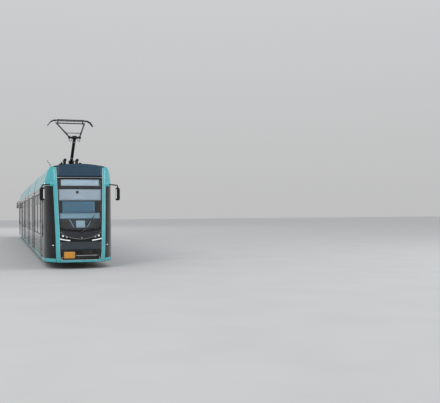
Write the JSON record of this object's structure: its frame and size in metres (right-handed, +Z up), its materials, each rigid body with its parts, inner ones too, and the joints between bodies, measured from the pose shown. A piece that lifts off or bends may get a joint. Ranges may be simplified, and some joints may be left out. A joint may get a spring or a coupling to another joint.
{
  "type": "low-floor articulated tram",
  "caption": "Low-floor city tram in hinged sections with a cab at each end, three bogies, bellows gangways and a raised single-arm pantograph.",
  "frame": {"origin": "under the middle of the tram, at the height of the wheel flange tips", "axes": "+Z up, Y along the tram, the cab with the pantograph faces -Y"},
  "size_m": [2.73, 35.9278, 5.5398],
  "materials": {
    "side_panels": "gloss black lacquer with a teal skirt edge",
    "roof_paint": "teal gloss paint, grey deck between the cheeks",
    "floor_pan": "dark grey underframe paint with grey floor covering",
    "mask_black": "gloss black moulded mask in a teal frame",
    "tinted_glass": "tinted laminated glass",
    "door_frames": "gloss black door leaves",
    "seat_shells": "grey shells with dark pads and steel poles",
    "desk_plastic": "dark moulded cab lining",
    "lamp_lens": "clear lenses over white and red lamps",
    "mirror_black": "black housings with a white outer strip",
    "wiper_black": "matt black",
    "bellows_rubber": "dark grey folded rubberised cloth",
    "bogie_paint": "dark grey frame paint with road dust",
    "wheel_steel": "steel, polished at the tread",
    "pantograph_paint": "dark grey paint",
    "contact_metal": "alloy carriers with carbon strips"
  },
  "bodies": {
    "middle": {"middle_sides": "side_panels", "middle_roof": "roof_paint", "middle_floor": "floor_pan", "middle_glass": "tinted_glass", "middle_seats": "seat_shells"},
    "second": {"second_sides": "side_panels", "second_roof": "roof_paint", "second_floor": "floor_pan", "second_glass": "tinted_glass", "second_doors": "door_frames", "second_seats": "seat_shells", "bellows_2": "bellows_rubber"},
    "front": {"front_sides": "side_panels", "front_roof": "roof_paint", "front_floor": "floor_pan", "front_front": "mask_black", "front_glass": "tinted_glass", "front_doors": "door_frames", "front_seats": "seat_shells", "front_cab_fit": "desk_plastic", "front_lamps": "lamp_lens", "front_mirrors": "mirror_black", "front_wiper": "wiper_black", "bellows_1": "bellows_rubber", "pan_base": "pantograph_paint"},
    "fourth": {"fourth_sides": "side_panels", "fourth_roof": "roof_paint", "fourth_floor": "floor_pan", "fourth_glass": "tinted_glass", "fourth_doors": "door_frames", "fourth_seats": "seat_shells", "bellows_3": "bellows_rubber"},
    "rear": {"rear_sides": "side_panels", "rear_roof": "roof_paint", "rear_floor": "floor_pan", "rear_front": "mask_black", "rear_glass": "tinted_glass", "rear_doors": "door_frames", "rear_seats": "seat_shells", "rear_cab_fit": "desk_plastic", "rear_lamps": "lamp_lens", "rear_mirrors": "mirror_black", "rear_wiper": "wiper_black", "bellows_4": "bellows_rubber"},
    "front_bogie": {"front_bogie": "bogie_paint"},
    "front_wheelset_1": {"front_wheelset_1": "wheel_steel"},
    "front_wheelset_2": {"front_wheelset_2": "wheel_steel"},
    "middle_bogie": {"middle_bogie": "bogie_paint"},
    "middle_wheelset_1": {"middle_wheelset_1": "wheel_steel"},
    "middle_wheelset_2": {"middle_wheelset_2": "wheel_steel"},
    "rear_bogie": {"rear_bogie": "bogie_paint"},
    "rear_wheelset_1": {"rear_wheelset_1": "wheel_steel"},
    "rear_wheelset_2": {"rear_wheelset_2": "wheel_steel"},
    "pan_lower_arm": {"pan_lower_arm": "pantograph_paint"},
    "pan_upper_arm": {"pan_upper_arm": "pantograph_paint"},
    "pan_head": {"pan_head": "contact_metal"}
  },
  "joints": [
    {"name": "second_pivot", "type": "hinge", "parent": "middle", "child": "second", "pos_m": [0, -2.225, 0.3], "axis": [0, 0, 1], "range_deg": [-16, 16], "deforming": ["bellows_2"]},
    {"name": "front_pivot", "type": "hinge", "parent": "second", "child": "front", "pos_m": [0, -9.675, 0.3], "axis": [0, 0, 1], "range_deg": [-16, 16], "deforming": ["bellows_1"]},
    {"name": "fourth_pivot", "type": "hinge", "parent": "middle", "child": "fourth", "pos_m": [0, 2.225, 0.3], "axis": [0, 0, -1], "range_deg": [-16, 16], "deforming": ["bellows_3"]},
    {"name": "rear_pivot", "type": "hinge", "parent": "fourth", "child": "rear", "pos_m": [0, 9.675, 0.3], "axis": [0, 0, -1], "range_deg": [-16, 16], "deforming": ["bellows_4"]},
    {"name": "front_bogie_yaw", "type": "hinge", "parent": "front", "child": "front_bogie", "pos_m": [0, -12.95, 0.318], "axis": [0, 0, 1], "range_deg": [-4, 4]},
    {"name": "front_axle_1", "type": "hinge", "parent": "front_bogie", "child": "front_wheelset_1", "pos_m": [0, -13.8, 0.318], "axis": [1, 0, 0], "continuous": true},
    {"name": "front_axle_2", "type": "hinge", "parent": "front_bogie", "child": "front_wheelset_2", "pos_m": [0, -12.1, 0.318], "axis": [1, 0, 0], "continuous": true},
    {"name": "middle_bogie_yaw", "type": "hinge", "parent": "middle", "child": "middle_bogie", "pos_m": [0, 0, 0.318], "axis": [0, 0, 1], "range_deg": [-4, 4]},
    {"name": "middle_axle_1", "type": "hinge", "parent": "middle_bogie", "child": "middle_wheelset_1", "pos_m": [0, -0.85, 0.318], "axis": [1, 0, 0], "continuous": true},
    {"name": "middle_axle_2", "type": "hinge", "parent": "middle_bogie", "child": "middle_wheelset_2", "pos_m": [0, 0.85, 0.318], "axis": [1, 0, 0], "continuous": true},
    {"name": "rear_bogie_yaw", "type": "hinge", "parent": "rear", "child": "rear_bogie", "pos_m": [0, 12.95, 0.318], "axis": [0, 0, -1], "range_deg": [-4, 4]},
    {"name": "rear_axle_1", "type": "hinge", "parent": "rear_bogie", "child": "rear_wheelset_1", "pos_m": [0, 12.1, 0.318], "axis": [1, 0, 0], "continuous": true},
    {"name": "rear_axle_2", "type": "hinge", "parent": "rear_bogie", "child": "rear_wheelset_2", "pos_m": [0, 13.8, 0.318], "axis": [1, 0, 0], "continuous": true},
    {"name": "pan_lower_pivot", "type": "hinge", "parent": "front", "child": "pan_lower_arm", "pos_m": [0, -14.5, 3.88], "axis": [1, 0, 0], "range_deg": [-12, 28]},
    {"name": "pan_knee", "type": "hinge", "parent": "pan_lower_arm", "child": "pan_upper_arm", "pos_m": [0, -15.79351, 4.70089], "axis": [1, 0, 0], "range_deg": [-48.6, 21]},
    {"name": "pan_head_pivot", "type": "hinge", "parent": "pan_upper_arm", "child": "pan_head", "pos_m": [0, -14.19856, 5.42104], "axis": [1, 0, 0], "range_deg": [-9, 20.6]}
  ],
  "couplings": [
    {"joint": "pan_knee", "follows": "pan_lower_pivot", "ratio": -1.725},
    {"joint": "pan_head_pivot", "follows": "pan_lower_pivot", "ratio": 0.725}
  ]
}
